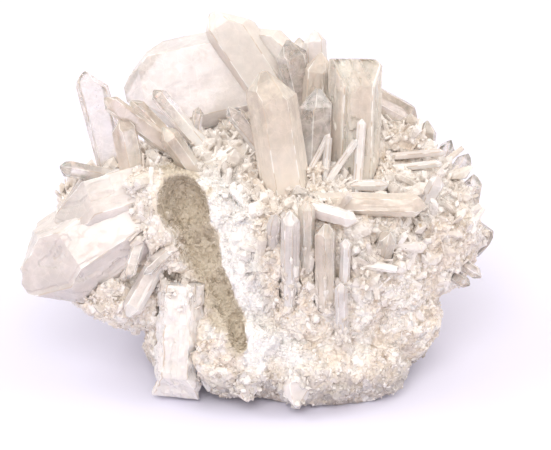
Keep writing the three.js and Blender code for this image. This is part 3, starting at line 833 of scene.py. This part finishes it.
def columnPlaces(look, random):
    # on walls the columns stand upright, sunk into the rock; below and above they follow its normal
    places, normals = scatterOn(rock, look["count"], random)
    wall = smoothRamp(1 - np.abs(normals[:, 2]), 0.3, 0.7)[:, None]
    ways = normals * (1 - 0.75 * wall) + [0, 0, 0.9] * wall
    ways = unitRows(ways + 0.25 * random.normal(size=places.shape))
    sunk = places - normals * look["sunk"]
    scale = 0.45 + 0.55 * smoothRamp(normals[:, 2] - 1.2 * normals[:, 1], -0.1, 0.8)
    scale *= 0.5 + 0.5 * smoothRamp(places[:, 2], 4 * mm, 14 * mm)
    rim = 1.2 + 0.2 * latticeNoise(places, 3 * mm, 98)
    keep = (cavityReach(places, 0, 0) > rim) & (places[:, 2] > 3 * mm) & (normals[:, 2] > -0.25)
    keep &= (normals[:, 2] < 0.55) | (random.random(len(places)) < look["onTop"])
    keep &= (cavityAndSnowLayers(places)["snow"] < 0.5) | (random.random(len(places)) < 0.4)
    feet = sunk - ways * (0.5 * look["length"][1] * scale)[:, None]
    keep &= feet[:, 2] > lowestRock(feet) + 2 * mm
    keep &= ~insideAny(places + ways * (1.5 * mm), 0.5 * mm) & ~insideAny(places, -0.2 * mm)
    return sunk[keep], ways[keep], scale[keep]


def overgrowthPlaces(count, reach, columnReach, random):
    # on the sides of the seated crystals, along their own axes, denser towards their roots
    clean = ("back_plate_crystal", "window_crystal", "left_block_crystal")
    nodes = [node for node in forms if crystalWidth(forms[node]) > 3 * mm and node not in clean]
    allPlaces, allWays = [], []
    for node in nodes:
        form = forms[node]
        surface = triangleData(frame["nodes"][node].data)
        places, normals = scatterOn(surface, 3 * count // len(nodes), random)
        growth = (places @ form["axis"] - form["start"]) / (form["end"] - form["start"])
        far = columnReach if node.startswith("column") else reach
        keep = (np.abs(normals @ form["axis"]) < 0.05) | (growth < 0.02)
        keep &= growth < far * (0.2 + random.random(len(places)))
        keep &= (cavityReach(places, 0, 0) > 1.2) & (places[:, 2] > 2 * mm)
        away = np.where(growth < 0.02, -1.0, 1.0)[:, None]
        ways = unitRows(form["axis"] * away + 0.12 * random.normal(size=places.shape))
        allPlaces.append((places - normals * (0.3 * mm))[keep])
        allWays.append(ways[keep])
    return np.concatenate(allPlaces), np.concatenate(allWays)


def collarPlaces(count, random):
    # all round the roots of the seated crystals, standing off their faces
    allPlaces, allWays = [], []
    for node, form in forms.items():
        surface = triangleData(frame["nodes"][node].data)
        places, normals = scatterOn(surface, 4 * count // len(forms), random)
        growth = (places @ form["axis"] - form["start"]) / (form["end"] - form["start"])
        deep = collarDepth.get(node, collarDepth["rest"])
        keep = (growth < deep * (0.3 + 0.9 * random.random(len(places)))) & (places[:, 2] > 2 * mm)
        keep &= cavityReach(places, 0, 0) > 1.25
        allPlaces.append(places[keep])
        allWays.append(unitRows(normals + 0.5 * random.normal(size=places.shape))[keep])
    return np.concatenate(allPlaces), np.concatenate(allWays)


def lowestRock(places):
    # the rock's lowest height over each place's own square of the floor plan
    def square(points):
        return tuple(np.clip(np.floor(points[:, :2] / (4 * mm)).astype(int) + 32, 0, 63).T)

    lowest = np.full((64, 64), 1.0)
    np.minimum.at(lowest, square(rock[0]), rock[0][:, 2])
    return lowest[square(places)]


def pointPlaces(count, random):
    # on top, between the big crystals, leaning every way
    places, normals = scatterOn(rock, 9 * count, random)
    ways = unitRows(normals + [0, 0, 0.2] + 0.75 * random.normal(size=places.shape))
    thick = latticeNoise(places, 6 * mm, 71) > -0.35
    keep = thick & (normals[:, 2] > 0.35) & (places[:, 2] > 30 * mm) & (cavityReach(places, 0, 0) > 1.3)
    keep &= ~insideAny(places + ways * (3 * mm), 0.6 * mm) & ~insideAny(places, -0.2 * mm)
    return places[keep][:count], ways[keep][:count]


def grainPlaces(surface, count, random):
    # all over a surface but for some bare patches, standing off it
    places, normals = scatterOn(surface, count, random)
    ways = unitRows(normals + 0.6 * random.normal(size=places.shape))
    bare = latticeNoise(places, 5 * mm, 81) + 0.6 * latticeNoise(places, 2 * mm, 82)
    keep = (bare > -0.35) | (cavityReach(places, 0, 0) < 1.4)
    keep &= (places[:, 2] > 0.8 * mm) & ~insideAny(places, -0.15 * mm)
    return places[keep], ways[keep]


random = np.random.default_rng(7)
for kind in ("columns", "blocks", "chips"):
    places, ways, scale = columnPlaces(druseLook[kind], random)
    chips = growSwarm("broken_" + kind, kind, places, ways, random, scale)
for kind in ("points", "spikes"):
    growSwarm("upper_" + kind, kind, *pointPlaces(druseLook[kind]["count"], random), random)
growSwarm("root_blocks", "collar", *collarPlaces(druseLook["collar"]["count"], random), random)
overgrowth = overgrowthPlaces(druseLook["overgrowth"]["count"], 0.16, 0.5, random)
growSwarm("parallel_overgrowth", "overgrowth", *overgrowth, random)
count = druseLook["grains"]["count"]
onRock = grainPlaces(rock, count * 2 // 3, random)
onChips = grainPlaces(triangleData(chips.data), count // 6, random)
onCrystals = overgrowthPlaces(count // 6, 0.25, 0.25, random)
places, ways = (np.concatenate(group) for group in zip(onRock, onChips, onCrystals))
growSwarm("sugar_druse", "grains", places, ways, random)
print("druse grown")
